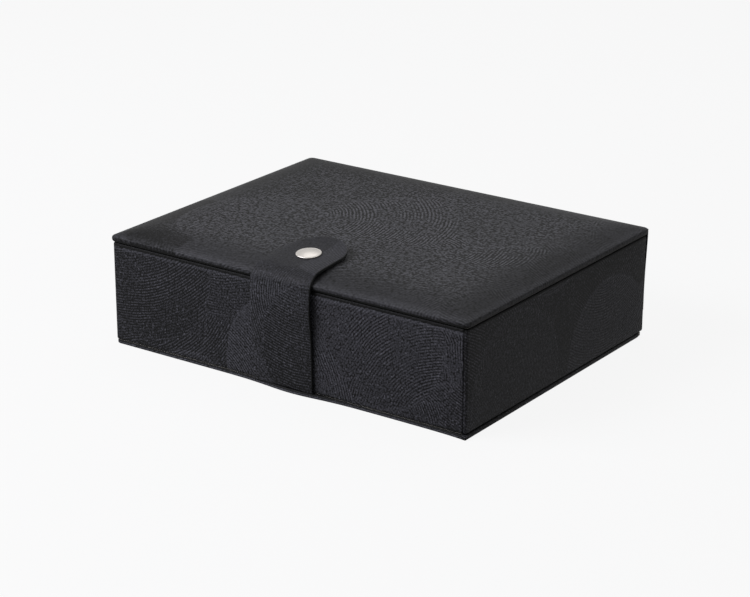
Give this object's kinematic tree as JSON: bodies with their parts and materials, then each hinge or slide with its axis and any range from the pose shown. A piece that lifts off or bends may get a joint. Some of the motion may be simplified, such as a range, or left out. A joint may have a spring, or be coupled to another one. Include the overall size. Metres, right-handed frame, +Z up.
{
  "type": "cufflink box with drawer",
  "caption": "Low box with a padded hinged lid held by a snap strap, a divided velvet tray under the lid, and a drawer that slides out of its right end.",
  "frame": {"origin": "centre of the underside of the base panel, on the surface the box stands on", "axes": "+X to the right along the front, towards the drawer's front; -Y towards the front and its strap; +Z up"},
  "size_m": [0.2536, 0.2014, 0.0786],
  "materials": {
    "case_leather": "embossed black imitation leather, satin",
    "lid_leather": "embossed black imitation leather, satin",
    "base_leather": "plain black imitation leather, satin",
    "strap_leather": "embossed black imitation leather, satin",
    "strap_lining": "plain black imitation leather, matt",
    "satin_nickel": "satin nickel plate",
    "bright_nickel": "bright nickel plate",
    "foam": "upholstery foam",
    "felt": "wool felt strip",
    "velvet": "short-pile black velvet on card",
    "card": "board covered in black paper",
    "greyboard": "raw greyboard"
  },
  "bodies": {
    "case": {"base_board": "greyboard", "base_leather": "base_leather", "case_leather": "case_leather", "front_wall_board": "greyboard", "back_wall_board": "greyboard", "left_wall_board": "greyboard", "floor_board": "card", "bay_liner_front": "card", "bay_liner_back": "card", "drawer_slide_felts": "felt", "drawer_stop_batten": "card", "deck_board": "card", "tray_end_board": "greyboard", "tray_end_leather": "case_leather", "tray_lining": "velvet", "tray_partition": "velvet", "ring_rolls": "velvet", "hinge_leather": "case_leather", "strap_root": "strap_leather", "tray_divider_long_1": "velvet", "tray_divider_long_2": "velvet", "tray_divider_long_3": "velvet", "tray_divider_cross_1": "velvet", "tray_divider_cross_2": "velvet", "tray_divider_cross_3": "velvet"},
    "lid": {"lid_board": "greyboard", "lid_foam": "foam", "lid_leather": "lid_leather", "lid_pad_card": "card", "lid_pad_velvet": "velvet", "snap_stud": "bright_nickel", "stud_rivet": "bright_nickel"},
    "strap": {"strap_leather": "strap_leather", "strap_lining": "strap_lining"},
    "tongue": {"tongue_leather": "strap_leather", "tongue_lining": "strap_lining", "snap_cap": "satin_nickel", "snap_socket": "bright_nickel"},
    "drawer": {"drawer_front_board": "greyboard", "drawer_front_backing": "card", "drawer_front_leather": "case_leather", "drawer_floor": "card", "drawer_side_front": "card", "drawer_side_back": "card", "drawer_inner_end": "card", "drawer_outer_end": "card", "drawer_lining": "velvet", "drawer_divider_long": "velvet", "drawer_divider_cross_1": "velvet", "drawer_divider_cross_2": "velvet"}
  },
  "joints": [
    {"name": "lid_hinge", "type": "hinge", "parent": "case", "child": "lid", "pos_m": [0, 0.1, 0.0641], "axis": [-1, 0, 0], "range_deg": [0, 180], "deforming": ["hinge_leather"]},
    {"name": "strap_fold", "type": "hinge", "parent": "case", "child": "strap", "pos_m": [0.002, -0.09929, 0.00301], "axis": [1, 0, 0], "range_deg": [0, 88]},
    {"name": "tongue_bend", "type": "hinge", "parent": "strap", "child": "tongue", "pos_m": [0.002, -0.09782, 0.07247], "axis": [1, 0, 0], "range_deg": [0, 90]},
    {"name": "drawer_slide", "type": "slide", "parent": "case", "child": "drawer", "axis": [1, 0, 0], "range_m": [0, 0.1593]}
  ]
}
